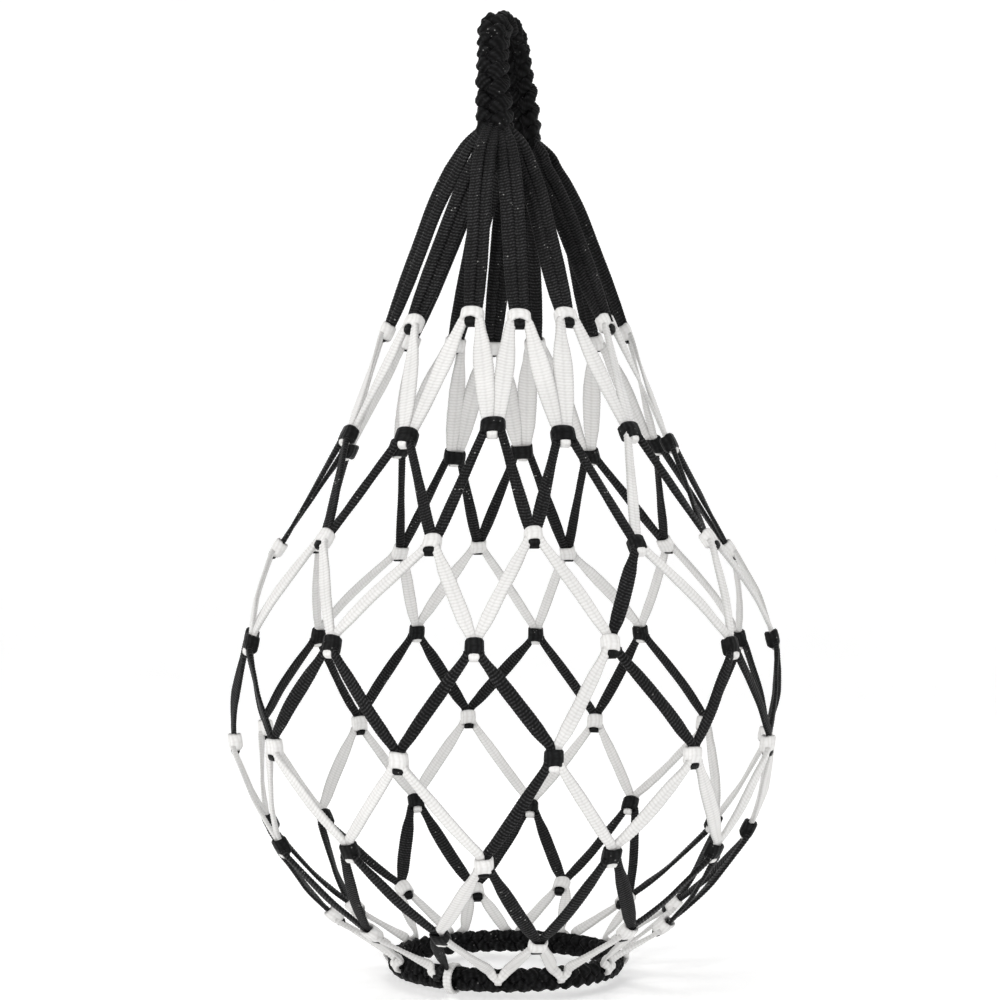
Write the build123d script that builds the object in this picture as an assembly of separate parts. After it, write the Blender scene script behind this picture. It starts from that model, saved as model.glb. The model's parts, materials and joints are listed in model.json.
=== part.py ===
from build123d import *
import os
from math import atan2, cos, degrees, radians, sin, sqrt

# A hand-knotted net bag for one ball, hanging by its plaited handle.
# Millimetres and degrees. +Z is up. The origin is on the inside of the handle's crown, where a hook or a
# hand carries the bag. Heights are measured from the centre of the ball that the net holds, until the last
# step takes ORIGIN_HEIGHT from them. Azimuth 0 faces -Y and grows towards +X.

# The ball and the cord
BALL_RADIUS = 110.0  # the net is shaped round a ball this size
CORD_WIDTH = 5.4
CORD_THICKNESS = 1.6
BALL_GAP = 1.2  # from the ball to the underside of the cord
GAP = 0.3  # between cords that lie against each other
PAIR_GAP = 0.05  # from each cord of a pair to the plane between them

# The net, in rows of knots from the top down, white and black in turn
MESHES = 12  # round the net, an even number
NECK_RISES = (41.0, -5.0)  # of the rows above the ball, over its top
NECK_RADII = (49.5, 68.7)  # of those rows
BALL_LATITUDES = (34.2, 12.4, -8.2, -28.8, -51.8)  # of the rows that lie on the ball
BUNCHING = (10.0, 7.0, 6.0, 2.5, 0.0, 0.0, 0.0)  # how far the two bunches of straps draw each row together
SEAM_AZIMUTH = -4.0  # of the seam's knot in the first row
ROW_TWIST = 1.0  # the seam turns half a mesh back in each row, less this much
BUNCH_AZIMUTH = -56.0  # the middle of the near bunch
WANDER_TURN = 1.2  # hand-tied knots stand up to this many degrees off their place
WANDER_HEIGHT = 1.6  # and this far above or below it
WANDER_TURN_STEPS = (2.4, 1.7)  # how fast that comes and goes from column to column and from row to row
WANDER_HEIGHT_STEPS = (3.1, 2.3)

# A knot: a collar round the neck of the two legs from above
COLLAR_WIDTH = 10.2
COLLAR_HEIGHT = 7.0
COLLAR_WALL = 1.4
COLLAR_CORNER = 1.2
NECK_LENGTH = 1.0  # of the bight that shows above the collar
TIP_LENGTH = 2.8  # of the bight that shows below the collar
TIP_WIDTH = 3.4
TIP_TAPER = 1.5  # over which the bight narrows to its tip
LEG_START_WIDTH = 3.2  # a leg leaves its collar folded, and opens to the cord's width
LEG_SECTIONS = 5
LEG_MARGIN = 0.13  # share of a leg's run before its first section, and after its last

# The straps from the handle to the first row
STRAP_WIDTH = 9.5
STRAP_TOP_WIDTH = 4.4
SHOULDER_WIDTH = 6.0
STRAP_THICKNESS = 2.2
STRAP_FAN = 44.0  # degrees between neighbouring straps round their gather
STRAP_ROOT_DROP = 8.0  # of a strap's root on its gather, below the hinge
SHOULDER_REACH = 14.0  # a strap stands out this far from its gather's middle before it turns down
SHOULDER_DROP = 10.5
STRAP_BOW = 3.0  # of a strap outwards below its shoulder
STRAP_SECTIONS = (  # shares of its run below the shoulder, shares of its bow there, and widths
    (0.16, 1.0, SHOULDER_WIDTH),
    (0.5, 0.6, STRAP_WIDTH),
    (0.84, 0.1, STRAP_WIDTH),
)

# The handle
LOOP_SPACING = 34.0  # between the middles of the handle's two legs
LOOP_STRAIGHT = 25.9  # of each leg, below the crown
STRAND_RADIUS = 3.5
HINGE_RISE = 119.2  # of the handle's hinge over the ball's top
GATHER_RADIUS = 6.0
GATHER_LENGTH = 12.0

# The bottom ring
RING_RADIUS = 45.0
RING_STRAND_RADIUS = 1.9
RING_BUNDLE_RADIUS = 2.3
LOOP_LENGTH = 5.4  # of a hitch along the ring
RING_LEG_WIDTH = 4.6  # of the last legs, which fold as they reach the ring

NET_RADIUS = BALL_RADIUS + BALL_GAP + CORD_THICKNESS / 2
LAST_ROW = len(NECK_RISES) + len(BALL_LATITUDES) - 1
NECK_HALF_WIDTH = COLLAR_WIDTH / 2 - COLLAR_WALL - GAP
RING_SECTION = RING_BUNDLE_RADIUS + RING_STRAND_RADIUS
HITCH_INSIDE = RING_SECTION + GAP
HITCH_OUTSIDE = HITCH_INSIDE + CORD_THICKNESS
RING_HEIGHT = -sqrt((BALL_RADIUS + HITCH_OUTSIDE + GAP) ** 2 - RING_RADIUS**2)
STRAND_OFFSET = STRAND_RADIUS + GAP / 2  # of a strand's middle from the plait's, each way
HINGE_HEIGHT = BALL_RADIUS + HINGE_RISE
PLAIT_END = HINGE_HEIGHT + GATHER_RADIUS + GAP
CROWN_CENTRE = PLAIT_END + LOOP_STRAIGHT
ORIGIN_HEIGHT = CROWN_CENTRE + LOOP_SPACING / 2 - STRAND_OFFSET - STRAND_RADIUS
BALL_CENTRE = Vector(0, 0, -ORIGIN_HEIGHT)


def above_ball(row):
    """Whether a row hangs between the straps and the ball, and doesn't lie on it."""
    return row < len(NECK_RISES)


def row_colour(row):
    return "white" if row % 2 == 0 else "black"


def row_place(row):
    """A row's height and radius. The bottom ring comes after the last row."""
    if row > LAST_ROW:
        return RING_HEIGHT, RING_RADIUS
    if above_ball(row):
        return BALL_RADIUS + NECK_RISES[row], NECK_RADII[row]
    latitude = radians(BALL_LATITUDES[row - len(NECK_RISES)])
    return NET_RADIUS * sin(latitude), NET_RADIUS * cos(latitude)


def wander(row, column, steps):
    """How far a hand-tied knot is off its place, from -1 to 1."""
    return sin(steps[0] * (column % MESHES) + steps[1] * row)


def knot_place(row, column):
    """A knot's azimuth, height and radius. Column 0 is the seam's, and the others follow it round."""
    height, radius = row_place(row)
    mesh = 360 / MESHES
    azimuth = SEAM_AZIMUTH - row * (mesh / 2 - ROW_TWIST) + (column % MESHES) * mesh
    if row > LAST_ROW:
        return azimuth, height, radius
    azimuth -= BUNCHING[row] * sin(radians(2 * (azimuth - BUNCH_AZIMUTH)))
    azimuth += WANDER_TURN * wander(row, column, WANDER_TURN_STEPS)
    height += WANDER_HEIGHT * wander(row, column, WANDER_HEIGHT_STEPS)
    if not above_ball(row):
        radius = sqrt(NET_RADIUS**2 - height**2)
    return azimuth, height, radius


def outward_slope(row, height, radius):
    """How far the net's outward normal points above the horizontal."""
    if not above_ball(row):
        return degrees(atan2(height, radius))
    above = row_place(row - 1) if row > 0 else (HINGE_HEIGHT - GATHER_LENGTH, LOOP_SPACING / 2)
    below = row_place(row + 1)
    return degrees(atan2(below[1] - above[1], above[0] - below[0]))


def surface_frame(azimuth, slope):
    """The directions across, down and out of the net at a place on it."""
    a, s = radians(azimuth), radians(slope)
    level = Vector(sin(a), -cos(a), 0)
    across = Vector(cos(a), sin(a), 0)
    outward = level * cos(s) + Vector(0, 0, sin(s))
    down = level * sin(s) - Vector(0, 0, cos(s))
    return across, down, outward


def point_at(azimuth, height, radius):
    a = radians(azimuth)
    return Vector(radius * sin(a), -radius * cos(a), height - ORIGIN_HEIGHT)


def knot_frame(row, column):
    azimuth, height, radius = knot_place(row, column)
    across, down, outward = surface_frame(azimuth, outward_slope(row, height, radius))
    return point_at(azimuth, height, radius), across, down, outward


def band(stations):
    """A flat cord through stations of (middle, width direction, face direction, width, thickness)."""
    wires = []
    for middle, wide, face, width, thickness in stations:
        half_wide = wide.normalized() * (width / 2)
        half_face = face.normalized() * (thickness / 2)
        wires.append(
            Wire.make_polygon(
                [
                    middle - half_wide - half_face,
                    middle + half_wide - half_face,
                    middle + half_wide + half_face,
                    middle - half_wide + half_face,
                ]
            )
        )
    return Solid.make_loft(wires, ruled=True)


def bight_stations(frame, neck, tip, thickness):
    """The end of a cord that goes down through a collar and shows below it. neck and tip are each a width
    and how far its middle is to the right of the collar's."""
    knot, across, down, outward = frame
    half = COLLAR_HEIGHT / 2
    places = (
        (-half - NECK_LENGTH, neck),
        (half - TIP_TAPER, neck),
        (half, tip),
        (half + TIP_LENGTH, tip),
    )
    stations = []
    for drop, (width, aside) in places:
        stations.append((knot + down * drop + across * aside, across, outward, width, thickness))
    return stations


def beside(middle, wide, width, place, away, room):
    """The middle moved away from a place, so that a cord this wide leaves that much room beside it."""
    reach = abs(wide.normalized().dot(away)) * width / 2
    short = room - ((middle - place).dot(away) - reach)
    return middle + away * max(short, 0)


def span_stations(start, end, start_out, end_out):
    """Stations of a cord drawn tight from one place to another, over the ball where it is in the way."""
    stations = []
    run = end - start
    for i in range(LEG_SECTIONS):
        share = LEG_MARGIN + (1 - 2 * LEG_MARGIN) * i / (LEG_SECTIONS - 1)
        middle = start + run * share
        from_ball = middle - BALL_CENTRE
        if from_ball.length < NET_RADIUS:
            middle = BALL_CENTRE + from_ball.normalized() * NET_RADIUS
        outward = start_out * (1 - share) + end_out * share
        stations.append((middle, outward.cross(run), outward))
    return stations


def net_leg(row, column, side):
    """One leg of the net, from its collar to the next row. side is 1 to the right and -1 to the left."""
    knot, across, down, outward = knot_frame(row, column)
    start_middle = TIP_WIDTH / 2 + GAP + LEG_START_WIDTH / 2
    start = knot + down * (COLLAR_HEIGHT / 2 + GAP) + across * (side * start_middle)
    below = knot_frame(row + 1, column + (1 if side > 0 else 0))
    away = below[1] * -side
    if row == LAST_ROW:
        leg_width = RING_LEG_WIDTH
        last = [ring_station(below, -side)]
    else:
        leg_width = CORD_WIDTH
        neck_width = NECK_HALF_WIDTH - PAIR_GAP
        neck = (neck_width, -side * (PAIR_GAP + neck_width / 2))
        tip = (TIP_WIDTH / 2, -side * TIP_WIDTH / 4)
        last = bight_stations(below, neck, tip, CORD_THICKNESS)
    stations = [(start, across, outward, LEG_START_WIDTH, CORD_THICKNESS)]
    for number, (middle, wide, face) in enumerate(span_stations(start, last[0][0], outward, last[0][2])):
        wide = wide if wide.dot(across) > 0 else -wide
        width = LEG_START_WIDTH if number == 0 else leg_width
        if number == 0:
            middle = beside(middle, wide, width, knot, across * side, TIP_WIDTH / 2 + GAP)
        middle = beside(middle, wide, width, below[0], away, PAIR_GAP)
        stations.append((middle, wide, face, width, CORD_THICKNESS))
    return band(stations + last)


def ring_station(frame, side):
    """The end of a last leg, against its hitch on the bottom ring."""
    middle, across, down, outward = frame
    upward = (outward - down).normalized()
    lift = HITCH_OUTSIDE + GAP + CORD_THICKNESS / 2
    end = middle + upward * lift + across * (side * LOOP_LENGTH / 4)
    return end, across, upward, LOOP_LENGTH / 2 - 2 * PAIR_GAP, CORD_THICKNESS


def collar(row, column):
    """The turn of cord round the neck of a bight."""
    knot, across, down, outward = knot_frame(row, column)
    thickness = STRAP_THICKNESS if row == 0 else CORD_THICKNESS
    inside = thickness + 2 * GAP
    outer = Box(COLLAR_WIDTH, inside + 2 * COLLAR_WALL, COLLAR_HEIGHT)
    outer = fillet(outer.edges().filter_by(Axis.Z), COLLAR_CORNER)
    ring = outer - Box(COLLAR_WIDTH - 2 * COLLAR_WALL, inside, COLLAR_HEIGHT)
    return Plane(origin=knot, x_dir=across, z_dir=-down) * ring


def strap(column, near):
    """A doubled strap from its gather over its shoulder to its bight in the first row."""
    frame = knot_frame(0, column)
    across, outward = frame[1], frame[3]
    order = strap_order(near)
    fan = bunch_azimuth(near) + (order.index(column) - (len(order) - 1) / 2) * STRAP_FAN
    lean_across, lean_down, lean_out = surface_frame(fan, 0)
    root_x = -LOOP_SPACING / 2 if near else LOOP_SPACING / 2
    hinge = Vector(root_x, 0, HINGE_HEIGHT - ORIGIN_HEIGHT)
    root = hinge + lean_down * STRAP_ROOT_DROP + lean_out * (GATHER_RADIUS + GAP)
    shoulder = hinge + lean_down * SHOULDER_DROP + lean_out * SHOULDER_REACH
    last = bight_stations(frame, (2 * NECK_HALF_WIDTH, 0), (TIP_WIDTH, 0), STRAP_THICKNESS)
    run = last[0][0] - shoulder
    level_face = lean_across.cross(shoulder - root).normalized()
    steep_face = lean_across.cross(run).normalized()
    if level_face.Z < 0:
        level_face, steep_face = -level_face, -steep_face
    stations = [
        (root, lean_across, level_face, STRAP_TOP_WIDTH, STRAP_THICKNESS),
        (shoulder, lean_across, level_face + steep_face, SHOULDER_WIDTH, STRAP_THICKNESS),
    ]
    for share, bow, width in STRAP_SECTIONS:
        middle = shoulder + run * share + lean_out * (STRAP_BOW * bow)
        wide = lean_across * (1 - share) + across * share
        face = steep_face * (1 - share) + outward * share
        stations.append((middle, wide, face, width, STRAP_THICKNESS))
    return band(stations + last)


def strap_order(near):
    """The columns whose straps hang from one gather, in order round it."""
    return list(range(MESHES // 2, MESHES)) if near else list(range(MESHES // 2))


def bunch_azimuth(near):
    """The middle of those columns."""
    order = strap_order(near)
    half = len(order) // 2
    return (knot_place(0, order[half - 1])[0] + knot_place(0, order[half])[0]) / 2


def gather(near):
    """The lump under an end of the plait where six straps are drawn together."""
    root_x = -LOOP_SPACING / 2 if near else LOOP_SPACING / 2
    hinge = Vector(root_x, 0, HINGE_HEIGHT - ORIGIN_HEIGHT)
    shank = Solid.make_cylinder(GATHER_RADIUS, GATHER_LENGTH, Plane(hinge - Vector(0, 0, GATHER_LENGTH)))
    return shank + Solid.make_sphere(GATHER_RADIUS, Plane(hinge), 0, 90, 360)


def handle_strand(along, across):
    """One of the plait's strands. along is 1 for the outside of the loop and -1 for its inside."""
    reach = LOOP_SPACING / 2 + along * STRAND_OFFSET
    side = across * STRAND_OFFSET
    foot = PLAIT_END - ORIGIN_HEIGHT
    crown = CROWN_CENTRE - ORIGIN_HEIGHT
    path = Wire(
        [
            Edge.make_line((-reach, side, foot), (-reach, side, crown)),
            Edge.make_three_point_arc((-reach, side, crown), (0, side, crown + reach), (reach, side, crown)),
            Edge.make_line((reach, side, crown), (reach, side, foot)),
        ]
    )
    section = Plane(origin=(-reach, side, foot), z_dir=(0, 0, 1)) * Circle(STRAND_RADIUS)
    return sweep(section, path=path)


def ring_strand(turn):
    """One of the three strands of the bottom ring's plait."""
    t = radians(turn)
    radius = RING_RADIUS + RING_BUNDLE_RADIUS * cos(t)
    height = RING_HEIGHT + RING_BUNDLE_RADIUS * sin(t) - ORIGIN_HEIGHT
    return Solid.make_torus(radius, RING_STRAND_RADIUS, Plane((0, 0, height)))


def ring_hitch(column):
    """The turn of a leg round the bottom ring."""
    azimuth = knot_place(LAST_ROW + 1, column)[0]
    across = surface_frame(azimuth, 0)[0]
    middle = point_at(azimuth, RING_HEIGHT, RING_RADIUS)
    start = Plane(origin=middle - across * (LOOP_LENGTH / 2), z_dir=across)
    outside = Solid.make_cylinder(HITCH_OUTSIDE, LOOP_LENGTH, start)
    return outside - Solid.make_cylinder(HITCH_INSIDE, LOOP_LENGTH, start)


def seam_knot(row, column):
    """Below the second row the seam's knots have the other cord's colour."""
    return row >= 2 and column == 0


def seam_leg(row, column, side):
    """From the second row down, the leg that goes left from the seam has the other cord's colour."""
    return row >= 1 and column == 0 and side < 0


def other(colour):
    return "black" if colour == "white" else "white"


def net_nodes():
    nodes = {}
    for row in range(LAST_ROW + 1):
        colour = row_colour(row)
        for column in range(MESHES):
            own = f"row_{row + 1}_{colour}_collars"
            name = f"seam_{other(colour)}_collars" if seam_knot(row, column) else own
            nodes.setdefault(name, []).append(collar(row, column))
            for side in (-1, 1):
                own = f"row_{row + 1}_{colour}_legs"
                name = f"seam_{other(colour)}_legs" if seam_leg(row, column, side) else own
                nodes.setdefault(name, []).append(net_leg(row, column, side))
    for column in range(MESHES):
        name = "ring_black_hitch" if column == 0 else "ring_white_hitches"
        nodes.setdefault(name, []).append(ring_hitch(column))
    return nodes


def all_nodes():
    nodes = net_nodes()
    for near in (True, False):
        bunch = "near" if near else "far"
        nodes[f"{bunch}_gather"] = [gather(near)]
        for place, column in enumerate(strap_order(near)):
            nodes[f"{bunch}_strap_{place + 1}"] = [strap(column, near)]
    places = ((1, 1), (1, -1), (-1, 1), (-1, -1))
    for number, (along, across) in enumerate(places):
        nodes[f"handle_strand_{number + 1}"] = [handle_strand(along, across)]
    for number in range(3):
        nodes[f"ring_strand_{number + 1}"] = [ring_strand(90 + 120 * number)]
    return nodes


os.makedirs("parts", exist_ok=True)
for node, solids in all_nodes().items():
    shape = solids[0] if len(solids) == 1 else Compound(children=solids)
    export_step(shape, f"parts/{node}.step")
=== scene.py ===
import json
import math
import random
from collections import defaultdict

import bmesh
import bpy
import numpy as np
from mathutils import Matrix, Vector
from mathutils.geometry import interpolate_bezier


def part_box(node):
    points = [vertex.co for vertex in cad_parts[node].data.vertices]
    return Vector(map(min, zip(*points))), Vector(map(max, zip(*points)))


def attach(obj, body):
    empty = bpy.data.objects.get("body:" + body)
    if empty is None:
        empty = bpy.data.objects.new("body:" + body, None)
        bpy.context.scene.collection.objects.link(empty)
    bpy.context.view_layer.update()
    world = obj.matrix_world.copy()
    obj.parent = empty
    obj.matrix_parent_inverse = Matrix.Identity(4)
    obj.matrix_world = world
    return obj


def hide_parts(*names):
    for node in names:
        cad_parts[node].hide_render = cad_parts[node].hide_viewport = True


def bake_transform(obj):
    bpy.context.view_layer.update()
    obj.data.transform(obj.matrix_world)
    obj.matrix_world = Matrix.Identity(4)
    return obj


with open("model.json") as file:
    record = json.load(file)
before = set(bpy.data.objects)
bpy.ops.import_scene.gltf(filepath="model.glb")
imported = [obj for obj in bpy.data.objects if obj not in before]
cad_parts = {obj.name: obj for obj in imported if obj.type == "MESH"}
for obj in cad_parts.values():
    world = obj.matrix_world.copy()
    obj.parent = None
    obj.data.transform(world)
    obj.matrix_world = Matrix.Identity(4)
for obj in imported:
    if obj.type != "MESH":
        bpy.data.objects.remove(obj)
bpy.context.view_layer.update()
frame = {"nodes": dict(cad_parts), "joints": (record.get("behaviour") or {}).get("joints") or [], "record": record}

# A hand-knotted net bag of flat braided cord. Metres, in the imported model's frame.
MM = 0.001
UP = Vector((0, 0, 1))
RIB_PITCH = 1.35 * MM  # from one rib of the braid to the next
RINGS_PER_RIB = 2
RIB_WIDTH = 0.03  # how much wider and thicker a cord is on its ribs
RIB_THICKNESS = 0.10
CORD_SIDES = 12
CREASE = 0.14  # a hollow flat braid sinks a little along its middle
CREASE_WIDTH = 0.35  # as a share of the cord's half width
FLATNESS = 0.7  # 1 would leave a cord's section round
SAME_PLACE = 0.001 * MM  # corners nearer than this are one corner
DRAWN_POINTS = 14  # places worked out between two points of a smooth line
draw = random.Random(41)

# ---------------------------------------------------------------- the knots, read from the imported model


def solids_of(node):
    """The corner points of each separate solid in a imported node."""
    mesh = bmesh.new()
    mesh.from_mesh(frame["nodes"][node].data)
    bmesh.ops.remove_doubles(mesh, verts=mesh.verts, dist=2 * SAME_PLACE)
    mesh.verts.ensure_lookup_table()
    seen = [False] * len(mesh.verts)
    solids = []
    for first in mesh.verts:
        if seen[first.index]:
            continue
        seen[first.index] = True
        reached, points = [first], []
        while reached:
            vert = reached.pop()
            points.append(vert.co.copy())
            for edge in vert.link_edges:
                other = edge.other_vert(vert)
                if not seen[other.index]:
                    seen[other.index] = True
                    reached.append(other)
        solids.append(points)
    mesh.free()
    return solids


def middle_of(points):
    """The mean of some places."""
    return sum(points, Vector()) / len(points)


def azimuth_of(place):
    """Degrees round the bag: 0 is at the front, and it grows towards +X."""
    return math.degrees(math.atan2(place.x, -place.y))


def turn_between(start, end):
    """The turn from one azimuth to another, from -180 to 180."""
    return (end - start + 180) % 360 - 180


class Knot:
    """A knot's place, and the directions across, down and out of the net there."""

    def __init__(self, points, colour):
        self.place = middle_of(points)
        self.colour = colour
        self.azimuth = azimuth_of(self.place)
        spread = np.array([point - self.place for point in points])
        directions = np.linalg.eigh(spread.T @ spread)[1]
        out, down = Vector(directions[:, 0]), Vector(directions[:, 1])
        self.out = out if out.dot(Vector((self.place.x, self.place.y, 0))) > 0 else -out
        self.down = down if down.z < 0 else -down
        self.across = self.out.cross(self.down)

    def at(self, across, down, out):
        """A place some millimetres across, below and out from the knot's middle."""
        return self.place + (self.across * across + self.down * down + self.out * out) * MM


def colour_of(node):
    """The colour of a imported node's cord, which its name gives."""
    return "white" if "white" in node else "black"


node_names = sorted(frame["nodes"])
seats = {mount["name"]: Vector(mount["pos_m"]) for mount in frame["record"]["mounts"]}
ball_centre = seats["ball_seat"]

all_knots = []
for node in node_names:
    if node.endswith("_collars"):
        for points in solids_of(node):
            knot = Knot(points, colour_of(node))
            knot.node = node
            all_knots.append(knot)
all_knots.sort(key=lambda knot: -knot.place.z)
hitches = []
for node in ("ring_white_hitches", "ring_black_hitch"):
    for points in solids_of(node):
        hitches.append((azimuth_of(middle_of(points)), middle_of(points), node))
MESHES = len(hitches)
rows = []
for first in range(0, len(all_knots), MESHES):
    rows.append(sorted(all_knots[first : first + MESHES], key=lambda knot: knot.azimuth))
LAST_ROW = len(rows) - 1
WIDEST_ROW = 4
ring_height = middle_of([middle for _, middle, _ in hitches]).z
ring_radius = sum(Vector((m.x, m.y)).length for _, m, _ in hitches) / MESHES
net_radius = sum((knot.place - ball_centre).length for knot in rows[WIDEST_ROW]) / MESHES

leg_middles = []
for node in node_names:
    if node.endswith("_legs"):
        leg_middles += [(middle_of(points), node) for points in solids_of(node)]


def leg_node(middle):
    """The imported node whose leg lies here."""
    return min(leg_middles, key=lambda leg: (leg[0] - middle).length)[1]


# ---------------------------------------------------------------- drawing out cord


def cord_blank(sections, sides, closed):
    """A straight length of cord: a ring of points drawn out along Z, one unit for each section."""
    mesh = bmesh.new()
    pattern = mesh.loops.layers.uv.new("cord")
    bmesh.ops.create_circle(mesh, segments=sides, radius=1)
    edges = mesh.edges[:]
    for _ in range(sections):
        drawn = bmesh.ops.extrude_edge_only(mesh, edges=edges)["geom"]
        verts = {item for item in drawn if isinstance(item, bmesh.types.BMVert)}
        drawn_edges = [item for item in drawn if isinstance(item, bmesh.types.BMEdge)]
        edges = [edge for edge in drawn_edges if all(vert in verts for vert in edge.verts)]
        bmesh.ops.translate(mesh, verts=list(verts), vec=UP)
    if not closed:
        bmesh.ops.holes_fill(mesh, edges=mesh.edges, sides=sides)
    for face in mesh.faces:
        for loop in face.loops:
            place = loop.vert.co
            loop[pattern].uv = (0.5 + 0.5 * place.x, place.z / RINGS_PER_RIB)
    return mesh


blanks = {}


def blank_for(sections, sides, closed):
    """The blank of this many sections, drawn only once."""
    key = (sections, sides, closed)
    if key not in blanks:
        blanks[key] = cord_blank(sections, sides, closed)
    return blanks[key]


def squared(share):
    """Turns a round section into a flat one with round edges."""
    return math.copysign(abs(share) ** FLATNESS, share)


def lay(cords, path, sides=CORD_SIDES, closed=False, crease=CREASE):
    """Adds a cord along a path, which has for each ring of the cord's blank its middle, the direction of its
    width, the direction of its face, and half its width and thickness."""
    piece = blank_for(len(path) - 1, sides, closed).copy()
    for vert in piece.verts:
        x, y, z = vert.co
        middle, wide, face, half_width, half_thickness = path[round(z)]
        sunk = 1 - crease * math.exp(-((x / CREASE_WIDTH) ** 2))
        vert.co = middle + wide * (squared(x) * half_width) + face * (squared(y) * sunk * half_thickness)
    if closed:
        bmesh.ops.remove_doubles(piece, verts=piece.verts, dist=SAME_PLACE)
    bmesh.ops.recalc_face_normals(piece, faces=piece.faces)
    part = bpy.data.meshes.new("part")
    piece.to_mesh(part)
    piece.free()
    cords.from_mesh(part)
    bpy.data.meshes.remove(part)


def smooth_line(points, sections):
    """Evenly spaced places on a smooth line through some points."""
    places = []
    for i in range(len(points) - 1):
        start, end = points[i], points[i + 1]
        before, after = points[max(i - 1, 0)], points[min(i + 2, len(points) - 1)]
        lead = start + (end - before) / 6
        trail = end - (after - start) / 6
        places += interpolate_bezier(start, lead, trail, end, DRAWN_POINTS)[:-1]
    places.append(points[-1])
    line = np.array([tuple(place) for place in places])
    run = np.concatenate([[0], np.cumsum(np.linalg.norm(np.diff(line, axis=0), axis=1))])
    shares = np.linspace(0, run[-1], sections + 1)
    return [Vector([np.interp(share, run, line[:, axis]) for axis in range(3)]) for share in shares]


def length_of(points):
    """The length of the straight runs between some places."""
    return sum((end - start).length for start, end in zip(points, points[1:]))


def rings_for(points):
    """How many sections of cord give this line its ribs."""
    return max(2, round(length_of(points) / RIB_PITCH)) * RINGS_PER_RIB


def at_share(values, share):
    """The value a share of the way along some evenly spaced values."""
    return float(np.interp(share, np.linspace(0, 1, len(values)), values))


def face_at(faces, share):
    """The direction a share of the way along some evenly spaced directions."""
    place = share * (len(faces) - 1)
    i = min(int(place), len(faces) - 2)
    return faces[i].lerp(faces[i + 1], place - i)


def tangent_at(places, i):
    """The direction of a line at one of its places."""
    return (places[min(i + 1, len(places) - 1)] - places[max(i - 1, 0)]).normalized()


def squared_to(tangent, face):
    """The face's direction, turned so that it stands square on the cord."""
    return (face - tangent * face.dot(tangent)).normalized()


def rib_at(i):
    """1 on a rib, and -1 in the hollow between two ribs."""
    return 1 if i % RINGS_PER_RIB == 0 else -1


def dress(places, faces, half_widths, half_thicknesses, rolls=(0, 0)):
    """Gives a line of places the cord's directions and sizes, with its ribs."""
    path = []
    for i, place in enumerate(places):
        share = i / (len(places) - 1)
        tangent = tangent_at(places, i)
        face = squared_to(tangent, face_at(faces, share))
        face = Matrix.Rotation(math.radians(at_share(rolls, share)), 3, tangent) @ face
        half_width = at_share(half_widths, share) * (1 + RIB_WIDTH * rib_at(i)) * MM
        half_thickness = at_share(half_thicknesses, share) * (1 + RIB_THICKNESS * rib_at(i)) * MM
        path.append((place, face.cross(tangent), face, half_width, half_thickness))
    return path


def clear_of_ball(place):
    """The place, or the nearest one on the net's round where the ball would be in the way."""
    from_ball = place - ball_centre
    return ball_centre + from_ball.normalized() * max(from_ball.length, net_radius)


# ---------------------------------------------------------------- materials


class Surface:
    """Builds one material's nodes, on the coordinates that run along each cord."""

    def __init__(self, name, coordinates="cord"):
        self.material = bpy.data.materials.new(name)
        self.material.use_nodes = True
        self.nodes = self.material.node_tree.nodes
        self.links = self.material.node_tree.links
        self.shader = self.nodes["Principled BSDF"]
        if coordinates:
            uv = self.nodes.new("ShaderNodeUVMap")
            uv.uv_map = coordinates
            split = self.nodes.new("ShaderNodeSeparateXYZ")
            self.links.new(uv.outputs[0], split.inputs[0])
            self.side, self.along = split.outputs[0], split.outputs[1]
        self.place = self.nodes.new("ShaderNodeTexCoord").outputs["Object"]

    def feed(self, socket, value):
        """Links another node's output to a socket, or sets a plain value on it."""
        if isinstance(value, bpy.types.NodeSocket):
            self.links.new(value, socket)
        else:
            socket.default_value = value

    def sum(self, operation, *values):
        """One step of arithmetic on values."""
        node = self.nodes.new("ShaderNodeMath")
        node.operation = operation
        for socket, value in zip(node.inputs, values):
            self.feed(socket, value)
        return node.outputs[0]

    def wave(self, value):
        """A wave from 0 to 1, once for each unit of a value."""
        turned = self.sum("MULTIPLY", value, 2 * math.pi)
        return self.sum("MULTIPLY_ADD", self.sum("SINE", turned), 0.5, 0.5)

    def noise(self, scale, detail=2.0, roughness=0.5):
        """Soft noise from 0 to 1, fixed to the object."""
        node = self.nodes.new("ShaderNodeTexNoise")
        self.feed(node.inputs["Vector"], self.place)
        node.inputs["Scale"].default_value = scale
        node.inputs["Detail"].default_value = detail
        node.inputs["Roughness"].default_value = roughness
        return node.outputs[0]

    def steps(self, value, *stops):
        """A colour for each step of a value."""
        node = self.nodes.new("ShaderNodeValToRGB")
        self.feed(node.inputs[0], value)
        ramp = node.color_ramp
        while len(ramp.elements) < len(stops):
            ramp.elements.new(0.5)
        for element, (position, colour) in zip(ramp.elements, stops):
            element.position = position
            element.color = (*colour, 1)
        return node.outputs[0]

    def mix(self, share, first, second, blend="MIX"):
        """The first colour, with a share of the second blended in."""
        node = self.nodes.new("ShaderNodeMix")
        node.data_type = "RGBA"
        node.blend_type = blend
        self.feed(node.inputs["Factor"], share)
        for socket, colour in ((node.inputs["A"], first), (node.inputs["B"], second)):
            self.feed(socket, colour if isinstance(colour, bpy.types.NodeSocket) else (*colour, 1))
        return node.outputs["Result"]

    def relief(self, height, depth, strength):
        """Raises the surface by a height."""
        node = self.nodes.new("ShaderNodeBump")
        node.inputs["Strength"].default_value = strength
        node.inputs["Distance"].default_value = depth
        self.feed(node.inputs["Height"], height)
        self.links.new(node.outputs[0], self.shader.inputs["Normal"])


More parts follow.
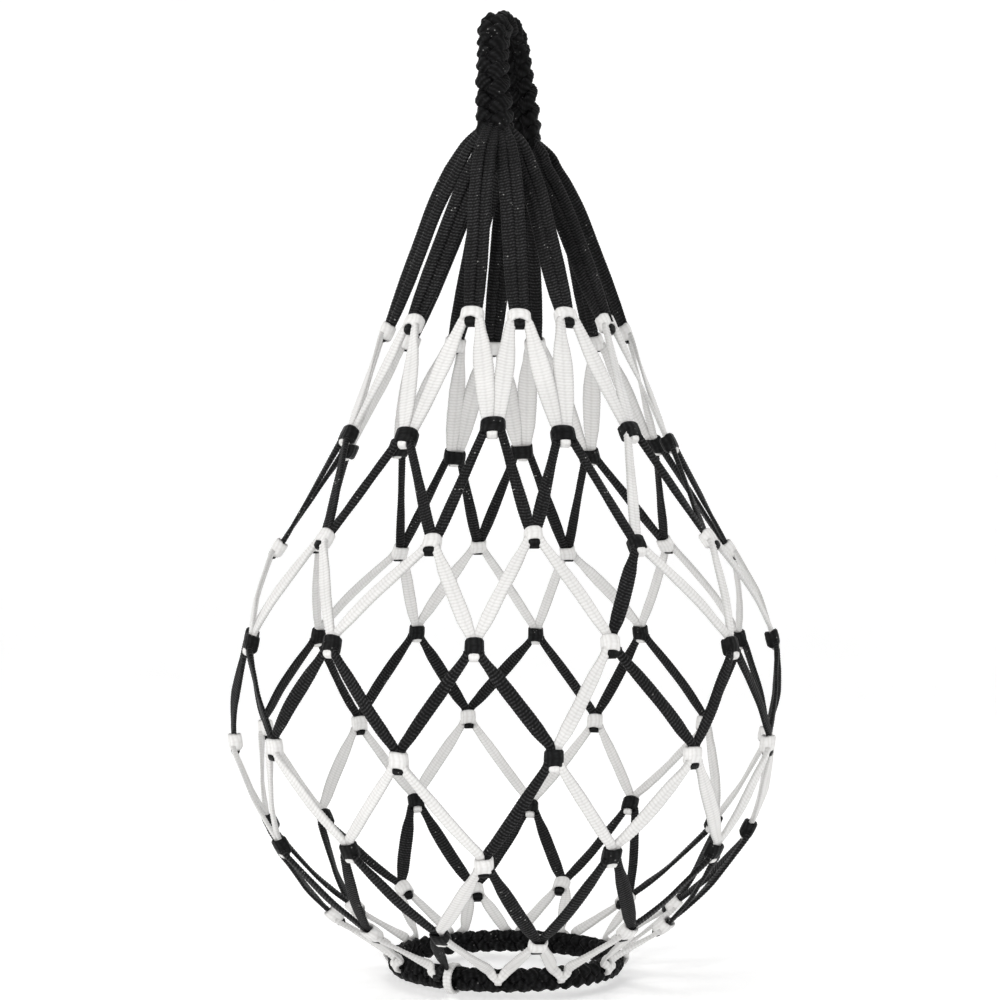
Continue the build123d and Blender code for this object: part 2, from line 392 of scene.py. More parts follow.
HERRINGBONE_SLANT = 0.7
YARNS_ACROSS = 5.0
YARN_DRIFT = 0.5  # how far the yarns move over from rib to rib
YARN_HEIGHT = 0.3
YARN_SHADE = 0.5
FIBRE_HEIGHT = 0.25
FIBRE_NOISE = (2600.0, 3.0, 0.7)  # scale, detail and roughness
SPECKLE_NOISE = (900.0, 2.0, 0.6)
SPECKLE_SHARE = (1.5, -0.15)  # times this, and this much more
SOFT_NOISE = (45.0, 3.0, 0.55)
SOFT_ROUGHNESS = 0.16
RIB_GLOSS = 0.12
SHADING = 0.9
BRAID_DEPTH = 0.22 * MM
# Painted highlights: small light grey specks painted on the rib crests of the dark cords.
GLINTS_PER_METRE = 620.0
GLINT_SIZE = 0.2
GLINT_NOISE = (150.0, 2.0, 0.6)
GLINT_RARITY = 0.6
PAINTED_GLINT_COLOUR = (0.62, 0.62, 0.6)


def grey(level):
    return (level, level, level)


def braid(name, rib, groove_shade, crest_highlight, rough, painted_glints=0.0, specular=0.13, middle=0.4, relief=0.8, dulled=0.5):
    """Flat braided cord: herringbone ribs across it, yarn in the ribs, and soft unevenness.

    rib is its own colour; groove is the painted shade in the hollows between ribs, bright the painted highlight on
    the rib crests, middle how dark the painted shade along its middle line is, dulled how dark its worn places
    are, and glints how strong its painted highlight specks are."""
    surface = Surface(name)
    centre = surface.sum("ABSOLUTE", surface.sum("SUBTRACT", surface.side, 0.5))
    slant = surface.sum("MULTIPLY_ADD", centre, HERRINGBONE_SLANT, surface.along)
    ribs = surface.wave(slant)
    drift = surface.sum("MULTIPLY", surface.along, YARN_DRIFT)
    yarns = surface.wave(surface.sum("MULTIPLY_ADD", surface.side, YARNS_ACROSS, drift))
    fibre = surface.noise(*FIBRE_NOISE)
    soft = surface.noise(*SOFT_NOISE)
    fuzzy_ribs = surface.sum("MULTIPLY_ADD", fibre, FIBRE_HEIGHT, ribs)
    height = surface.sum("MULTIPLY_ADD", yarns, YARN_HEIGHT, fuzzy_ribs)
    speckle = surface.sum("MULTIPLY_ADD", surface.noise(*SPECKLE_NOISE), *SPECKLE_SHARE)
    shade = surface.sum("MULTIPLY", ribs, surface.sum("MULTIPLY_ADD", yarns, YARN_SHADE, speckle))
    # Painted light: the groove colour is painted shade in the hollows between ribs, and the bright colour a
    # painted highlight on the rib crests.
    colour = surface.steps(shade, (0.05, groove_shade), (0.42, rib), (0.95, crest_highlight))
    # Painted shade: the colour is darker along the cord's middle crease and towards its two edges.
    edges = ((0.1, grey(1.0)), (0.34, grey(0.96)), (0.5, grey(0.7)))
    middle_and_edge_shade = surface.steps(centre, (0.0, grey(middle)), *edges)
    colour = surface.mix(SHADING, colour, middle_and_edge_shade, "MULTIPLY")
    worn = surface.steps(soft, (0.38, grey(dulled)), (0.6, grey(1.0)))
    colour = surface.mix(SHADING, colour, worn, "MULTIPLY")
    if painted_glints:
        # Painted highlight specks, only on the rib crests.
        spots = surface.nodes.new("ShaderNodeTexVoronoi")
        surface.feed(spots.inputs["Vector"], surface.place)
        spots.inputs["Scale"].default_value = GLINTS_PER_METRE
        near = surface.sum("LESS_THAN", spots.outputs["Distance"], GLINT_SIZE)
        chosen = surface.sum("GREATER_THAN", surface.noise(*GLINT_NOISE), GLINT_RARITY)
        painted_glint = surface.sum("MULTIPLY", surface.sum("MULTIPLY", near, chosen), ribs)
        colour = surface.mix(surface.sum("MULTIPLY", painted_glint, painted_glints), colour, PAINTED_GLINT_COLOUR)
    surface.feed(surface.shader.inputs["Base Color"], colour)
    by_rib = surface.sum("MULTIPLY_ADD", ribs, -RIB_GLOSS, rough)
    uneven = surface.sum("MULTIPLY_ADD", soft, SOFT_ROUGHNESS, by_rib)
    surface.feed(surface.shader.inputs["Roughness"], uneven)
    surface.shader.inputs["Specular IOR Level"].default_value = specular
    surface.relief(height, BRAID_DEPTH, relief)
    return surface


# For each cord: groove is painted shade between the ribs, bright a painted highlight on the rib crests, glints
# painted highlight specks.
black_cord = braid(
    "black_braid",
    rib=(0.0085, 0.0085, 0.009),
    groove_shade=(0.0022, 0.0022, 0.0022),
    crest_highlight=(0.04, 0.04, 0.0415),
    rough=0.52,
    painted_glints=0.55,
    dulled=0.62,
)
black_wrap = braid(
    "black_wrap",
    rib=(0.006, 0.0065, 0.007),
    groove_shade=(0.003, 0.003, 0.003),
    crest_highlight=(0.012, 0.0125, 0.013),
    rough=0.48,
    painted_glints=0.25,
    specular=0.12,
    relief=0.5,
)
plait_cord = braid(
    "plait_braid",
    rib=(0.005, 0.005, 0.0055),
    groove_shade=(0.0015, 0.0015, 0.0015),
    crest_highlight=(0.014, 0.014, 0.015),
    rough=0.6,
    painted_glints=0.3,
    specular=0.1,
)
white_cord = braid(
    "white_braid",
    rib=(0.775, 0.768, 0.758),
    groove_shade=(0.71, 0.70, 0.685),
    crest_highlight=(0.81, 0.805, 0.795),
    rough=0.66,
    specular=0.4,
    middle=0.9,
    relief=0.3,
    dulled=0.94,
)
white_wrap = braid(
    "white_wrap",
    rib=(0.79, 0.782, 0.772),
    groove_shade=(0.73, 0.72, 0.705),
    crest_highlight=(0.82, 0.815, 0.805),
    rough=0.6,
    specular=0.4,
    middle=0.94,
    relief=0.3,
    dulled=0.95,
)
CORDS = {"black": (black_cord, "black_cord"), "white": (white_cord, "white_cord")}
WRAPS = {"black": (black_wrap, "black_cord"), "white": (white_wrap, "white_cord")}
PLAIT = (plait_cord, "plaited_black_cord")


def finish_piece(cords, name, finish, body, nodes):
    """Makes an object of the laid cords, with its material and its body, and hides the nodes that it stands for.
    """
    data = bpy.data.meshes.new(name)
    cords.to_mesh(data)
    cords.free()
    for polygon in data.polygons:
        polygon.use_smooth = True
    surface, slot_name = finish
    data.materials.append(surface.material)
    piece = bpy.data.objects.new(name, data)
    bpy.context.scene.collection.objects.link(piece)
    if body:
        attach(piece, body)
    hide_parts(*nodes)
    return piece


# ---------------------------------------------------------------- the net

HOOD_RINGS = 24
HOOD_SIDES = 8
HOOD_THICKNESS = 0.72 * MM
HOOD_CREASE = 0.05
HOOD_SLOPE = 0.35
HOOD_TOP = -3.6  # in millimetres below the knot's middle, as all heights on a knot are
HOOD_DROOP = 0.35  # how much lower the top is at the sides
HOOD_CORNER = 3.8
HOOD_BACK = ((-3.2, 0.4), (3.0, 0.8))  # top and bottom at the back, and how much lower each is at the sides
HOODS = ((4.1, 2.5, 1.0), (4.3, 2.4, 2.9))  # half width, depth and brow in the first rows
LOWER_HOOD = (2.95, 2.2, 2.6)
TIP_SECTIONS = 12
TIP_SIDES = 10
TIP_ASIDE = 0.3
STRAP_TIP = (2.2, 3.9, 0.9)  # half width, drop and half thickness
WHITE_TIP = (2.1, 4.5, 0.8)
BLACK_TIP = (2.25, 4.7, 0.8)


def lay_hood(cords, knot, half_width, depth, brow):
    """The turn of cord round a bight's neck. Its front ends higher than its sides, at the brow."""
    path = []
    slope = draw.uniform(-HOOD_SLOPE, HOOD_SLOPE)
    (back_top, top_droop), (back_bottom, bottom_droop) = HOOD_BACK
    for i in range(HOOD_RINGS + 1):
        turn = 2 * math.pi * (i % HOOD_RINGS) / HOOD_RINGS
        x, y = math.sin(turn), math.cos(turn)
        side, front = squared(x), squared(y)
        across, out = half_width * side, depth * front
        if front > 0:
            top = HOOD_TOP + HOOD_DROOP * side**2
            bottom = brow + (HOOD_CORNER - brow) * side**2
        else:
            top = back_top + top_droop * side**2
            bottom = back_bottom + bottom_droop * side**2
        drop = (top + bottom) / 2 + slope * side
        outward = (knot.across * (x / half_width) + knot.out * (y / depth)).normalized()
        place = knot.at(across, drop, out)
        path.append((place, knot.down, outward, (bottom - top) / 2 * MM, HOOD_THICKNESS))
    lay(cords, path, sides=HOOD_SIDES, closed=True, crease=HOOD_CREASE)


def lay_tip(cords, knot, half_width, drop, thickness):
    """The fold of a bight that shows below its collar."""
    aside = draw.uniform(-TIP_ASIDE, TIP_ASIDE)
    points = [
        knot.at(aside, 0.3, 1.3),
        knot.at(aside, drop - 1.4, 1.7),
        knot.at(aside, drop - 0.3, 1.4),
        knot.at(aside, drop, 0.5),
        knot.at(aside, drop - 0.4, -0.5),
        knot.at(aside, 1.0, -0.8),
    ]
    faces = [knot.out, knot.out, knot.out + knot.down, knot.down, knot.down - knot.out, -knot.out]
    places = smooth_line(points, TIP_SECTIONS)
    path = []
    for i, place in enumerate(places):
        face = squared_to(tangent_at(places, i), face_at(faces, i / TIP_SECTIONS))
        path.append((place, knot.across, face, half_width * MM, thickness * MM))
    lay(cords, path, sides=TIP_SIDES)


class LegKind:
    """How the legs of a row leave their knot, and their twist, width and thickness on the way."""

    def __init__(self, apart, gate, bow, roll, widest, leaving, shares, arriving, thick):
        self.apart = apart  # millimetres from the knot's middle where the leg leaves it
        self.gate = gate  # and from the next knot's middle where the leg goes in
        self.bow = bow  # how far the leg bows out between them
        self.roll = roll  # degrees
        self.widest = widest  # the narrowest and the widest of these legs, in half widths
        self.leaving, self.shares, self.arriving = leaving, shares, arriving
        self.thick = thick

    def widths(self, widest):
        return [*self.leaving, *(widest * share for share in self.shares), *self.arriving]


FIRST_LEGS = LegKind(
    apart=3.0,
    gate=2.1,
    bow=0.0,
    roll=18,
    widest=(3.6, 4.5),
    leaving=(1.9, 2.4),
    shares=(0.85, 1, 1, 0.95, 0.86),
    arriving=(2.7, 1.9),
    thick=(1.25, 1.0, 0.7, 0.62, 0.62, 0.7, 0.8, 0.9, 0.85),
)
SECOND_LEGS = LegKind(
    apart=3.0,
    gate=1.4,
    bow=0.0,
    roll=24,
    widest=(2.1, 2.7),
    leaving=(1.7, 1.75, 1.85),
    shares=(0.82, 0.92, 1, 1),
    arriving=(2.3, 1.7),
    thick=(1.2, 1.1, 1.0, 0.95, 0.9, 0.85, 0.85, 0.9, 0.85),
)
LOWER_LEGS = LegKind(
    apart=2.3,
    gate=1.4,
    bow=0.4,
    roll=26,
    widest=(2.1, 2.95),
    leaving=(1.6, 1.85),
    shares=(0.92, 1, 1, 1, 0.95),
    arriving=(2.0, 1.4),
    thick=(1.2, 1.05, 0.85, 0.8, 0.8, 0.8, 0.85, 0.9, 0.85),
)
LEG_FLOW = (0.3, 0.6, 0.85)  # shares of the way from knot to knot
RING_LEG_FLOW = (0.35, 0.7)
LEG_CORNER_ROLL = 10  # degrees


def legs_of(row):
    """The kind of legs below a row's knots."""
    return (FIRST_LEGS, SECOND_LEGS)[row] if row < 2 else LOWER_LEGS


def leaving_places(start, side, apart):
    """Where a leg comes out of its knot's lower corner."""
    return start.at(side * apart, 1.6, 0.9), start.at(side * (apart + 0.9), 4.2, 0.9)


def leg_points(start, end, side, row):
    """Places along a leg from one knot to the next: out of a lower corner, and in at the top."""
    kind = legs_of(row)
    gate = end.at(-side * kind.gate, -4.2, 0.3 * side)
    first, second = leaving_places(start, side, kind.apart)
    run = [second.lerp(gate, share) + start.out * kind.bow * MM for share in LEG_FLOW]
    points = [first, second, *run, gate, end.at(-side * 1.1, 0.2, 0.3 * side)]
    return [clear_of_ball(point) for point in points] if kind is LOWER_LEGS else points


def lay_leg(cords, start, end, side, row):
    kind = legs_of(row)
    points = leg_points(start, end, side, row)
    faces = [start.out, start.out, (start.out + end.out) / 2, end.out, end.out]
    roll = draw.uniform(-kind.roll, kind.roll)
    widest = draw.uniform(*kind.widest)
    rolls = [side * LEG_CORNER_ROLL, roll * 0.7, roll, roll * 0.4, 0]
    line = smooth_line(points, rings_for(points))
    lay(cords, dress(line, faces, kind.widths(widest), kind.thick, rolls))


def ring_place(azimuth, turn, lift):
    """A place round the bottom ring's section: turn 0 is outwards, 90 is up, 180 is inwards."""
    a, t = math.radians(azimuth), math.radians(turn)
    level = Vector((math.sin(a), -math.cos(a), 0))
    centre = level * ring_radius + UP * ring_height
    outward = level * math.cos(t) + UP * math.sin(t)
    return centre + outward * lift * MM, outward


RING_LEG_ASIDE = 3.4 * MM
RING_LEG_WIDTHS = (1.6, 1.9, 2.5, 2.6, 2.6, 2.5, 2.3, 2.1, 1.8, 1.2)
RING_LEG_THICK = (1.2, 0.85, 0.8, 0.8, 0.8)
RING_LEG_ROLL = 12  # degrees
OVER_RING, FRONT_OF_RING, IN_RING = (52, 5.9), (28, 5.5), (4, 3.6)  # turn round the ring, and lift


def lay_ring_leg(cords, start, azimuth, side):
    """A leg from the last row to the bottom ring, tucked in among the ring's strands."""
    aside = math.degrees(RING_LEG_ASIDE / ring_radius) * -side
    over = ring_place(azimuth + aside, *OVER_RING)[0]
    front = ring_place(azimuth + aside * 0.5, *FRONT_OF_RING)[0]
    tuck, level = ring_place(azimuth + aside * 0.05, *IN_RING)
    first, second = leaving_places(start, side, LOWER_LEGS.apart)
    run = [clear_of_ball(second.lerp(over, share)) for share in RING_LEG_FLOW]
    points = [first, second, *run, over, front, tuck]
    roll = draw.uniform(-RING_LEG_ROLL, RING_LEG_ROLL)
    faces = [start.out, start.out, start.out, start.out.lerp(level, 0.4), level, level]
    rolls = [side * LEG_CORNER_ROLL, roll, roll * 0.5, 0]
    lay(cords, dress(smooth_line(points, rings_for(points)), faces, RING_LEG_WIDTHS, RING_LEG_THICK, rolls))


legs = defaultdict(bmesh.new)
for row in range(LAST_ROW + 1):
    for knot in rows[row]:
        if row < LAST_ROW:
            below = [(turn_between(knot.azimuth, other.azimuth), other) for other in rows[row + 1]]
        else:
            below = [(turn_between(knot.azimuth, azimuth), azimuth) for azimuth, _, _ in hitches]
        for side in (1, -1):
            ahead = [pair for pair in below if pair[0] * side > 0]
            end = min(ahead, key=lambda pair: abs(pair[0]))[1]
            if row < LAST_ROW:
                node = leg_node(knot.place.lerp(end.place, 0.5))
                lay_leg(legs[node], knot, end, side, row)
            else:
                node = leg_node(knot.place.lerp(ring_place(end, 38, 5)[0], 0.5))
                lay_ring_leg(legs[node], knot, end, side)

collars, tips = defaultdict(bmesh.new), defaultdict(bmesh.new)
for row in range(LAST_ROW + 1):
    for knot in rows[row]:
        hood = HOODS[row] if row < len(HOODS) else LOWER_HOOD
        lay_hood(collars[knot.node], knot, *hood)
        if row == 0:
            upper, fold = "black", STRAP_TIP
        elif knot.colour == "black":
            upper, fold = "white", WHITE_TIP
        else:
            upper, fold = "black", BLACK_TIP
        lay_tip(tips[upper], knot, *fold)

for node, cords in legs.items():
    finish_piece(cords, node.replace("legs", "cord"), CORDS[colour_of(node)], "net", [node])
for node, cords in collars.items():
    finish_piece(cords, node.replace("collars", "knots"), WRAPS[colour_of(node)], "net", [node])
for colour, cords in tips.items():
    finish_piece(cords, f"{colour}_bight_folds", WRAPS[colour], "net", [])

# ---------------------------------------------------------------- the plaits

plait_low, plait_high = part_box("handle_strand_1")
gather_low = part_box("near_gather")[0]
hinge = Vector(frame["joints"][0]["pos_m"])
root_x = {"near": middle_of(list(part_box("near_gather"))).x, "far": middle_of(list(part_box("far_gather"))).x}
CROWN_TOP = plait_high.z
ACROSS = Vector((0, 1, 0))  # the plait swings from side to side across the handle's plane
PLAIT_PERIOD = 18.5 * MM
PLAIT_BROAD = 3.9 * MM
PLAIT_DEEP = 2.3 * MM
PLAIT_STRAND = (3.3, 2.6)  # half width and half thickness, in millimetres
HEAD_STRAND = (2.9, 2.3)
STRAND_RIB_THICKNESS = 0.06
STOUT = (1.25, 1.12, 1.02, 0.95, 0.95, 0.95, 1.02, 1.12, 1.25)  # the plait is stouter at its feet
STRANDS = 3
CROWN_PULL = 3.0 * MM  # how much the plait pulls in at its crown
CROWN_ROOM = 2.6 * MM
SWING_WOBBLE = (0.5, 6.1 * MM)  # how uneven the plait's pace is, and over what length
SIZE_WOBBLE = (0.07, 7.7 * MM)
FACE_TURN = (0.9, 0.7)  # how far a strand's face turns towards the side that it is on
FOOT_DROP = 4.5 * MM
PLAIT_RINGS_PER_RIB = 3.2
LEAN_FOOT = -2.2
LEAN_CROWN = 4.0


def lean(place):
    """The handle's crown leans a little to one side, and its feet to the other."""
    share = min(max((place.z - gather_low.z) / (CROWN_TOP - gather_low.z), 0), 1)
    return place + ACROSS * ((LEAN_FOOT + LEAN_CROWN * share**1.3) * min(share * 4, 1) * MM)


def handle_line():
    """The middle of the plaited handle, from its near foot over the crown to its far foot."""
    half = root_x["far"]
    narrow = half - CROWN_PULL
    centre = CROWN_TOP - PLAIT_DEEP - CROWN_ROOM - narrow
    foot = plait_low.z - FOOT_DROP
    rise = centre - foot
    side = [(half, foot), (half, foot + rise * 0.33), (half - 0.9 * MM, foot + rise * 0.66)]
    points = [Vector((-x, 0, z)) for x, z in side]
    for turn in range(180, -1, -20):
        a = math.radians(turn)
        points.append(Vector((narrow * math.cos(a), 0, centre + narrow * math.sin(a))))
    points += [Vector((x, 0, z)) for x, z in reversed(side)]
    return points


def strand_path(line, number, strand, taper):
    """One of three plaited strands: it swings from side to side, over and under the others."""
    half_width, half_thickness = strand
    pace, pace_run = SWING_WOBBLE
    growth, growth_run = SIZE_WOBBLE
    inward, sideways = FACE_TURN
    run = 0.0
    places = []
    faces = []
    for i, place in enumerate(line):
        if i:
            run += (place - line[i - 1]).length
        deepward = tangent_at(line, i).cross(ACROSS).normalized()
        angle = 2 * math.pi * (run / PLAIT_PERIOD + number / STRANDS) + pace * math.sin(run / pace_run)
        size = taper(i / (len(line) - 1)) * (1 + growth * math.sin(run / growth_run + number))
        side = math.sin(angle)
        swing = PLAIT_BROAD * side * size
        dive = PLAIT_DEEP * math.sin(2 * angle) * size
        places.append(place + ACROSS * swing + deepward * dive)
        faces.append(deepward * math.cos(side * inward) + ACROSS * math.sin(side * sideways))
    path = []
    for i, place in enumerate(places):
        tangent = tangent_at(places, i)
        face = squared_to(tangent, faces[i])
        wide = half_width * (1 + RIB_WIDTH * rib_at(i)) * MM
        thick = half_thickness * (1 + STRAND_RIB_THICKNESS * rib_at(i)) * MM
        path.append((place, face.cross(tangent), face, wide, thick))
    return path


handle_points = handle_line()
handle_sections = round(length_of(handle_points) / RIB_PITCH * PLAIT_RINGS_PER_RIB)
handle_places = [lean(place) for place in smooth_line(handle_points, handle_sections)]
stood_for = (["handle_strand_1", "handle_strand_2"], ["handle_strand_3"], ["handle_strand_4"])
for number in range(STRANDS):
    cords = bmesh.new()
    path = strand_path(handle_places, number, PLAIT_STRAND, lambda share: at_share(STOUT, share))
    lay(cords, path, sides=14, crease=0.22)
    finish_piece(cords, f"handle_plait_{number + 1}", PLAIT, "handle", stood_for[number])

RING_PLAIT_TURNS = 16
RING_BROAD = 2.5 * MM
RING_DEEP = 1.4 * MM
RING_STRAND = (2.45, 1.75)  # half width and half thickness, in millimetres
RING_FACE_TURN = 0.8
ring_sections = round(2 * math.pi * ring_radius / RIB_PITCH) * RINGS_PER_RIB


def ring_strand_path(number):
    """One of the ring's three plaited strands, all the way round and closed."""
    half_width, half_thickness = RING_STRAND
    places, levels, sides = [], [], []
    for i in range(ring_sections):
        share = i / ring_sections
        angle = 2 * math.pi * (RING_PLAIT_TURNS * share + number / STRANDS)
        centre, level = ring_place(360 * share, 0, 0)
        swing, dive = RING_BROAD * math.sin(angle), RING_DEEP * math.sin(2 * angle)
        places.append(centre + UP * swing + level * dive)
        levels.append(level)
        sides.append(math.sin(angle))
    path = []
    for i in range(ring_sections + 1):
        here = i % ring_sections
        ahead, behind = places[(here + 1) % ring_sections], places[here - 1]
        tangent = (ahead - behind).normalized()
        turn = sides[here] * RING_FACE_TURN
        face = squared_to(tangent, levels[here] * math.cos(turn) + UP * math.sin(turn))
        wide = half_width * (1 + RIB_WIDTH * rib_at(i)) * MM
        thick = half_thickness * (1 + STRAND_RIB_THICKNESS * rib_at(i)) * MM
        path.append((places[here], face.cross(tangent), face, wide, thick))
    return path


for number in range(STRANDS):
    cords = bmesh.new()
    lay(cords, ring_strand_path(number), sides=10, closed=True, crease=0.18)
    finish_piece(cords, f"ring_plait_{number + 1}", PLAIT, "net", [f"ring_strand_{number + 1}"])


TUCKED = ((40, 4.2), (20, 4.6), (4, 4.4), (-10, 3.4), (-28, 1.6))  # turn round the ring, and lift
WRAPPED = tuple((turn, 5.3) for turn in range(-150, 191, 20))
TUCKED_WIDTH, WRAPPED_WIDTH = 1.4, 1.8  # half widths, in millimetres
HITCH_THICKNESS = 0.8
SEAM_TURN = 6.5  # degrees from the seam's own hitch to the white cord's turn beside it


def lay_hitch(cords, azimuth, round_ring, half_width):
    """The end of a bight on the ring, hooked behind a strand or turned round them all."""
    points, faces = [], []
    for turn, lift in round_ring:
        place, outward = ring_place(azimuth, turn, lift)
        points.append(place)
        faces.append(outward)
    lay(cords, dress(smooth_line(points, rings_for(points)), faces, [half_width], [HITCH_THICKNESS]))


white_turns, black_turn = bmesh.new(), bmesh.new()
for azimuth, _, node in hitches:
    if node == "ring_black_hitch":
        lay_hitch(black_turn, azimuth, TUCKED, TUCKED_WIDTH)
        lay_hitch(white_turns, azimuth + SEAM_TURN, WRAPPED, WRAPPED_WIDTH)
    else:
        lay_hitch(white_turns, azimuth, TUCKED, TUCKED_WIDTH)
finish_piece(white_turns, "ring_white_turns", CORDS["white"], "net", ["ring_white_hitches"])
finish_piece(black_turn, "ring_black_turn", CORDS["black"], "net", ["ring_black_hitch"])

# ---------------------------------------------------------------- the straps and their gathers


def bend(piece):
    """The piece runs from the handle into the net; its place is baked into its mesh."""
    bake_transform(piece)


SHOULDER = ((3.0, 5.0), (7.0, 1.5), (11.5, -3.5), (15.0, -10.0))  # out from the plait, and above the hinge
SHOULDER_SHARES = {"near": (0.4, 0.93, 0.38, 0.8, 0.8, 0.9), "far": (1.0, 1.0, 1.3, 0.7, 0.6, 0.8)}
STRAP_FLOW = ((0.25, 1.6), (0.52, 1.0), (0.8, 0.3))  # shares of the way down, and how far it bows out there
STRAP_HALF_WIDTHS = (2.0, 2.3, 2.6, 2.65, 2.7, 2.7, 2.65, 2.4, 1.9)
STRAP_THICK = (1.1, 1.0, 0.95, 0.95)
STRAP_APART = (1.0, 1.9, 2.4, 2.3, 2.15, 2.1, 2.1, 1.9, 1.4)  # from a strap's middle to each of its cords
LAP_OVER, LAP_UNDER = 0.55, -0.35
STRAP_ROLL = 10  # degrees
HEAD_TOP = 6  # millimetres above the hinge
HEAD_LENGTH = 17
HEAD_SECTIONS = 40
HEAD_TAPER = 0.45


def strap_points(points, root, reach):
    """Places down the middle of a strap, from inside the plait's foot to inside its collar."""
    head = middle_of(sorted(points, key=lambda point: -point.z)[:4])
    foot = min(points, key=lambda point: point.z)
    knot = min(rows[0], key=lambda knot: (knot.place - foot).length)
    outward = Vector((head.x - root.x, head.y - root.y, 0)).normalized()
    places = [root + UP * hinge.z + (outward * out * reach + UP * rise) * MM for out, rise in SHOULDER]
    neck = knot.at(0, -4.6, 0.0)
    run = neck - places[-1]
    flow = [places[-1] + run * share + outward * bow * reach * MM for share, bow in STRAP_FLOW]
    return [lean(place) for place in (*places, *flow, neck, knot.at(0, 0.5, 0.1))], outward, knot


for bunch in ("near", "far"):
    root = Vector((root_x[bunch], 0, 0))
    bunch_out = Vector((root.x, 0, 0)).normalized()
    for number in range(1, MESHES // 2 + 1):
        node = f"{bunch}_strap_{number}"
        points, outward, knot = strap_points(solids_of(node)[0], root, SHOULDER_SHARES[bunch][number - 1])
        flat = (bunch_out + outward * 0.15).normalized()
        faces = [flat.lerp(outward, 0.4), flat, flat, flat.lerp(knot.out, 0.1), flat.lerp(knot.out, 0.3)]
        roll = draw.uniform(-STRAP_ROLL, STRAP_ROLL)
        line = smooth_line(points, rings_for(points))
        middle = dress(line, faces, STRAP_HALF_WIDTHS, STRAP_THICK, [0, roll, 0])
        swap = draw.choice((1, -1))
        cords = bmesh.new()
        for side in (-1, 1):
            path = []
            lap = (LAP_OVER if side == swap else LAP_UNDER) * MM
            for i, (place, wide, face, half_width, half_thickness) in enumerate(middle):
                apart = at_share(STRAP_APART, i / (len(middle) - 1)) * side * MM
                path.append((place + wide * apart + face * lap, wide, face, half_width, half_thickness))
            lay(cords, path)
        bend(finish_piece(cords, f"{node}_cords", CORDS["black"], None, [node]))
    cords = bmesh.new()
    line = []
    for i in range(HEAD_SECTIONS + 1):
        rise = HEAD_TOP - HEAD_LENGTH * i / HEAD_SECTIONS
        line.append(lean(root + UP * (hinge.z + rise * MM)))
    for number in range(STRANDS):
        path = strand_path(line, number, HEAD_STRAND, lambda share: 1 - HEAD_TAPER * share)
        lay(cords, path, sides=12, crease=0.2)
    bend(finish_piece(cords, f"{bunch}_strap_heads", PLAIT, None, [f"{bunch}_gather"]))

# ---------------------------------------------------------------- floor, light and camera

FLOOR_HEIGHT = ring_height - 7.6 * MM
FLOOR_HOLE = 0.05
FLOOR_STEP = 0.45
FLAT_RADIUS = 2.3
CURVE_RADIUS = 1.2
WALL_HEIGHT = 3.2
PAPER_GLOW = 0.3


def studio():
    """A pale floor that curves up into a backdrop all round."""
    mesh = bmesh.new()
    profile = [Vector((FLOOR_HOLE + FLOOR_STEP * i, 0, 0)) for i in range(6)]
    for turn in range(9, 91, 9):
        a = math.radians(turn)
        out, rise = CURVE_RADIUS * math.sin(a), CURVE_RADIUS * (1 - math.cos(a))
        profile.append(Vector((FLAT_RADIUS + out, 0, rise)))
    profile.append(Vector((FLAT_RADIUS + CURVE_RADIUS, 0, WALL_HEIGHT)))
    verts = [mesh.verts.new(place) for place in profile]
    edges = [mesh.edges.new(pair) for pair in zip(verts, verts[1:])]
    bmesh.ops.spin(
        mesh, geom=verts + edges, cent=(0, 0, 0), axis=(0, 0, 1), angle=2 * math.pi, steps=72, use_merge=True
    )
    rim = [edge for edge in mesh.edges if edge.is_boundary and edge.verts[0].co.z < 0.01]
    bmesh.ops.holes_fill(mesh, edges=rim, sides=100)
    bmesh.ops.recalc_face_normals(mesh, faces=mesh.faces)
    bmesh.ops.translate(mesh, verts=mesh.verts, vec=(0, 0, FLOOR_HEIGHT))
    data = bpy.data.meshes.new("studio_floor")
    mesh.to_mesh(data)
    mesh.free()
    for polygon in data.polygons:
        polygon.use_smooth = True
    surface = Surface("studio_paper", None)
    grain = surface.steps(surface.noise(3.0), (0.3, grey(0.90)), (0.7, grey(0.93)))
    surface.feed(surface.shader.inputs["Base Color"], grain)
    surface.shader.inputs["Roughness"].default_value = 0.9
    surface.shader.inputs["Specular IOR Level"].default_value = 0.1
    surface.shader.inputs["Emission Color"].default_value = (1, 1, 1, 1)
    surface.shader.inputs["Emission Strength"].default_value = PAPER_GLOW
    data.materials.append(surface.material)
    floor = bpy.data.objects.new("studio_floor", data)
    bpy.context.scene.collection.objects.link(floor)


studio()

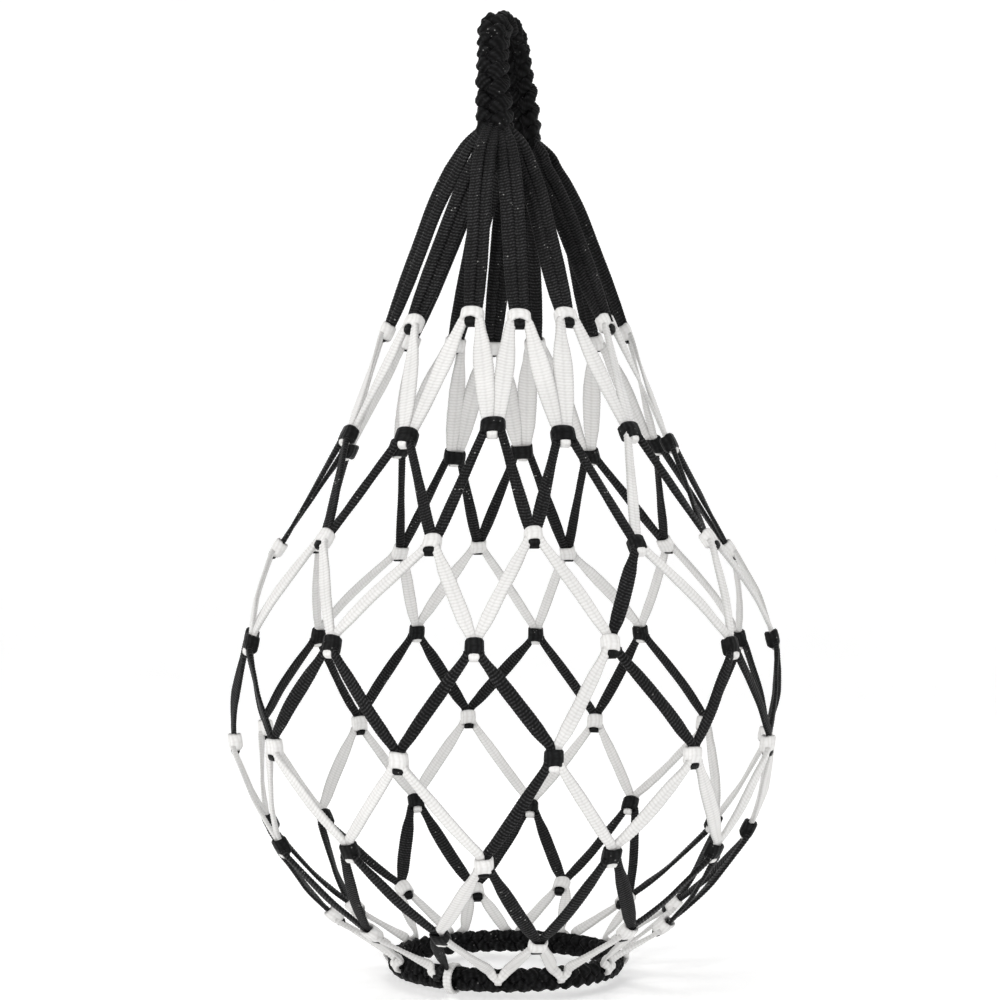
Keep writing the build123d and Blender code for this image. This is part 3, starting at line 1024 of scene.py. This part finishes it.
VIEW_AZIMUTH = math.radians(-68.3)
CAMERA_DISTANCE = 0.850
CAMERA_HEIGHT = 0.0476  # above the ball's middle
TARGET_HEIGHT = 0.0815
TARGET_ASIDE = 0.0029
LIT_PLACE = Vector((0, 0, -0.2))
AIR_LIGHT = 0.3
toward_camera = Vector((math.sin(VIEW_AZIMUTH), -math.cos(VIEW_AZIMUTH), 0))
screen_right = Vector((math.cos(VIEW_AZIMUTH), math.sin(VIEW_AZIMUTH), 0))


def soft_light(name, aside, height, distance, size, power, warmth=(1, 1, 1)):
    """A round lamp, placed from the camera's side and aimed at the net."""
    data = bpy.data.lights.new(name, "AREA")
    data.shape = "DISK"
    data.size = size
    data.energy = power
    data.color = warmth
    lamp = bpy.data.objects.new(name, data)
    bpy.context.scene.collection.objects.link(lamp)
    lamp.location = screen_right * aside + toward_camera * distance + UP * height
    aim = LIT_PLACE - lamp.location
    lamp.rotation_euler = aim.to_track_quat("-Z", "Y").to_euler()


soft_light("key_light", aside=-1.1, height=0.9, distance=1.5, size=0.8, power=15, warmth=(1.0, 0.99, 0.975))
soft_light("fill_light", aside=1.5, height=0.2, distance=1.2, size=1.4, power=2.5)
soft_light("top_light", aside=0.2, height=1.7, distance=-0.4, size=1.2, power=8)

world = bpy.data.worlds.new("studio_air")
world.use_nodes = True
air = world.node_tree.nodes["Background"]
air.inputs["Color"].default_value = (1, 1, 1, 1)
air.inputs["Strength"].default_value = AIR_LIGHT
bpy.context.scene.world = world
bpy.context.scene.view_settings.view_transform = "Standard"

camera_data = bpy.data.cameras.new("camera")
camera_data.lens = 73.9
camera_data.clip_start = 0.05
camera_data.clip_end = 20
camera = bpy.data.objects.new("camera", camera_data)
bpy.context.scene.collection.objects.link(camera)
camera.location = toward_camera * CAMERA_DISTANCE + UP * (ball_centre.z + CAMERA_HEIGHT)
target = UP * (ball_centre.z + TARGET_HEIGHT) - screen_right * TARGET_ASIDE
camera.rotation_euler = (target - camera.location).to_track_quat("-Z", "Y").to_euler()
bpy.context.scene.camera = camera
